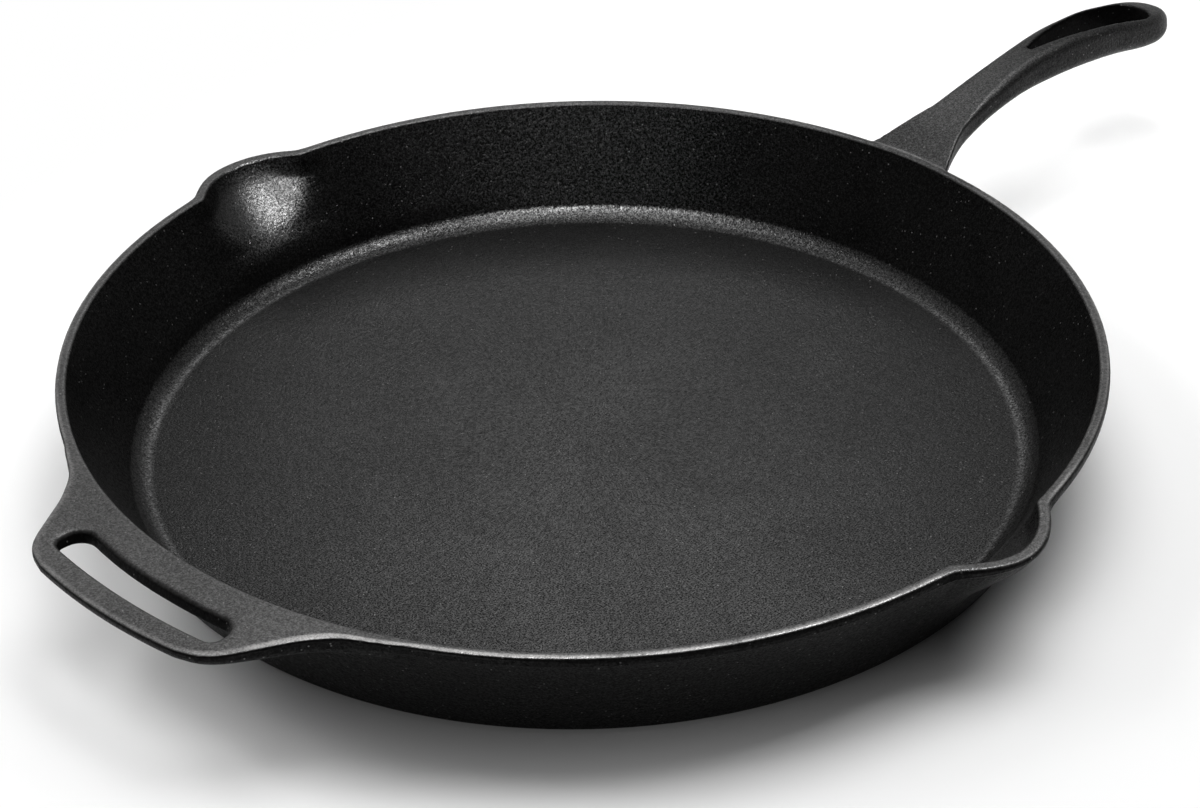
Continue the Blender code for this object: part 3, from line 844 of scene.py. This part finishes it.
def iron_bump(nodes, iron):
    height = nodes.times(iron.fine, 0.9)
    weights = (
        (iron.grain, 1.5),
        (iron.skin, nodes.mix(iron.inside, low=2.0, high=0.9)),
        (iron.pit, -1.6),
        (iron.speck, 0.9),
    )
    for pattern, weight in weights:
        height = nodes.math("MULTIPLY_ADD", pattern, weight, height)
    slots = {"Strength": 1.0, "Distance": 0.00009, "Height": height}
    return nodes.put("ShaderNodeBump", slots).outputs[0]


def iron_material():
    """Seasoned cast iron: near black, with a fine grain, and worn on its edges, partly a
    painted highlight.
    """
    material = bpy.data.materials.new("seasoned_cast_iron")
    material.use_nodes = True
    tree = material.node_tree
    nodes = Nodes(tree)
    iron = iron_patterns(nodes)
    # painted shade: by their share, the walls of the slot and of the hole get a lower index and
    # reflect less, least on the long handle
    recess_shade_index = nodes.mix(iron.held, low=1.25, high=1.10)
    inputs = {
        "IOR": nodes.mix(iron.shaded_recess, low=1.5, high=recess_shade_index),
        "Base Color": iron_colour(nodes, iron),
        "Roughness": iron_roughness(nodes, iron),
        "Specular IOR Level": iron_shine(nodes, iron),
        "Metallic": nodes.times(iron.worn, 0.90),
        "Normal": iron_bump(nodes, iron),
    }
    for name, output in inputs.items():
        tree.links.new(output, tree.nodes["Principled BSDF"].inputs[name])
    return material


# ---- floor, world, lights and camera -----------------------------------------------------
# bearing of straight away from the camera, from +X
AWAY = math.atan2(0.58784, 0.60062)


def direction(height, bearing):
    """From degrees over the floor and degrees to the left of straight away."""
    height, bearing = math.radians(height), AWAY + math.radians(bearing)
    flat = math.cos(height)
    return Vector((flat * math.cos(bearing), flat * math.sin(bearing), math.sin(height)))


def floor_material():
    """Pale grey that turns into a painted white glow outside an ellipse round the skillet,
    hiding the floor's shading there.
    """
    material = bpy.data.materials.new("pale_floor")
    material.use_nodes = True
    tree = material.node_tree
    nodes = Nodes(tree)
    shader = tree.nodes["Principled BSDF"]
    shader.inputs["Base Color"].default_value = (0.86, 0.86, 0.86, 1)
    shader.inputs["Roughness"].default_value = 0.9
    shader.inputs["Specular IOR Level"].default_value = 0.0
    away = nodes.put("ShaderNodeTexCoord").outputs["Object"]
    centre_shift, squeeze = (-0.12, 0.0, 0.0), (2.15, 3.0, 0.0)
    for operation, vector in (("ADD", centre_shift), ("MULTIPLY", squeeze)):
        away = nodes.put("ShaderNodeVectorMath", {0: away, 1: vector}, operation=operation)
        away = away.outputs[0]
    away = nodes.put("ShaderNodeVectorMath", {0: away}, operation="LENGTH").outputs["Value"]
    # painted light: beyond the ellipse the floor glows white, though it is no lamp
    far = nodes.remap(away, span=(0.60, 1.10))
    glow = nodes.put("ShaderNodeEmission", {"Color": (1, 1, 1, 1), "Strength": 1.0})
    slots = {0: far, 1: shader.outputs[0], 2: glow.outputs[0]}
    blend = nodes.put("ShaderNodeMixShader", slots)
    tree.links.new(blend.outputs[0], tree.nodes["Material Output"].inputs["Surface"])
    return material


def build_floor(half_size=6.0, z=-0.0002):
    bm = bmesh.new()
    signs = ((-1, -1), (1, -1), (1, 1), (-1, 1))
    bm.faces.new([bm.verts.new((x * half_size, y * half_size, z)) for x, y in signs])
    mesh = bpy.data.meshes.new("floor")
    bm.to_mesh(mesh)
    bm.free()
    floor = bpy.data.objects.new("floor", mesh)
    bpy.context.scene.collection.objects.link(floor)
    mesh.materials.append(floor_material())


def build_world(dark=0.01, bright=0.16, overhead=0.08):
    """Bright beyond the skillet, dark on the camera's side, and white to the camera."""
    world = bpy.data.worlds.new("studio")
    bpy.context.scene.world = world
    world.use_nodes = True
    tree = world.node_tree
    nodes = Nodes(tree)
    where = nodes.put("ShaderNodeTexCoord").outputs["Generated"]
    slots = {0: where, 1: tuple(direction(height=0, bearing=0))}
    ahead = nodes.put("ShaderNodeVectorMath", slots, operation="DOT_PRODUCT").outputs["Value"]
    level = nodes.remap(ahead, span=(-0.15, 0.75), to=(dark, bright))
    overhead_share = nodes.remap(nodes.axis(where, "Z"), span=(0.75, 1.0))
    level = nodes.mix(overhead_share, low=level, high=overhead)
    seen = nodes.put("ShaderNodeLightPath").outputs["Is Camera Ray"]
    background = tree.nodes["Background"]
    tree.links.new(nodes.mix(seen, low=level, high=1.0), background.inputs["Strength"])
    background.inputs["Color"].default_value = (1, 1, 1, 1)


def add_softbox(name, height, bearing, distance, size, radiance, diffuse=True, glossy=True):
    """A rectangular light aimed at the origin, hidden from the camera."""
    light = bpy.data.lights.new(name, "AREA")
    light.shape = "RECTANGLE"
    light.size, light.size_y = size
    light.energy = radiance * math.pi * size[0] * size[1]
    obj = bpy.data.objects.new(name, light)
    bpy.context.scene.collection.objects.link(obj)
    obj.location = direction(height, bearing) * distance
    obj.rotation_euler = (-obj.location).to_track_quat("-Z", "Y").to_euler()
    obj.visible_camera = False
    obj.visible_diffuse = diffuse
    obj.visible_glossy = glossy


def build_lights():
    # these light the floor and cast the shadows
    add_softbox("softbox_left", height=38, bearing=66, distance=1.7, size=(0.9, 0.9),
                radiance=7.2, glossy=False)
    add_softbox("softbox_high", height=66, bearing=-58, distance=1.7, size=(1.1, 1.1),
                radiance=5.4, glossy=False)
    add_softbox("softbox_top", height=78, bearing=20, distance=1.7, size=(1.0, 1.0),
                radiance=3.6, glossy=False)
    # this one does both
    add_softbox("softbox_back", height=42, bearing=0, distance=1.32, size=(0.50, 0.62),
                radiance=1.25)
    # these are only reflected in the iron
    add_softbox("softbox_over", height=56, bearing=180, distance=1.5, size=(1.1, 0.36),
                radiance=12.0, diffuse=False)
    add_softbox("softbox_front", height=27, bearing=180, distance=1.6, size=(1.7, 0.55),
                radiance=0.40, diffuse=False)
    add_softbox("softbox_crown", height=78, bearing=105, distance=1.5, size=(0.9, 0.5),
                radiance=2.4, diffuse=False)
    add_softbox("softbox_right", height=65, bearing=-88, distance=1.5, size=(0.60, 0.28),
                radiance=27.0, diffuse=False)


def build_camera():
    data = bpy.data.cameras.new("camera")
    data.sensor_width = 36.0
    data.lens = 90.0
    data.clip_start, data.clip_end = 0.05, 50.0
    camera = bpy.data.objects.new("camera", data)
    bpy.context.scene.collection.objects.link(camera)
    right = (0.69049031, -0.72308988, -0.01908268)
    up = (0.40308564, 0.36273968, 0.84020348)
    back = (-0.60062059, -0.58784432, 0.54193538)
    place = (-0.7242559, -0.71796299, 0.67716676)
    columns = Matrix(((*right, 0), (*up, 0), (*back, 0), (*place, 1)))
    camera.matrix_world = columns.transposed()
    bpy.context.scene.camera = camera


casting_obj = build_casting()
casting_obj.data.materials.append(iron_material())
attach(casting_obj, "root")
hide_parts("pan_body", "long_handle", "helper_handle")

build_floor()
build_world()
build_lights()
build_camera()
bpy.context.scene.view_settings.view_transform = "Standard"
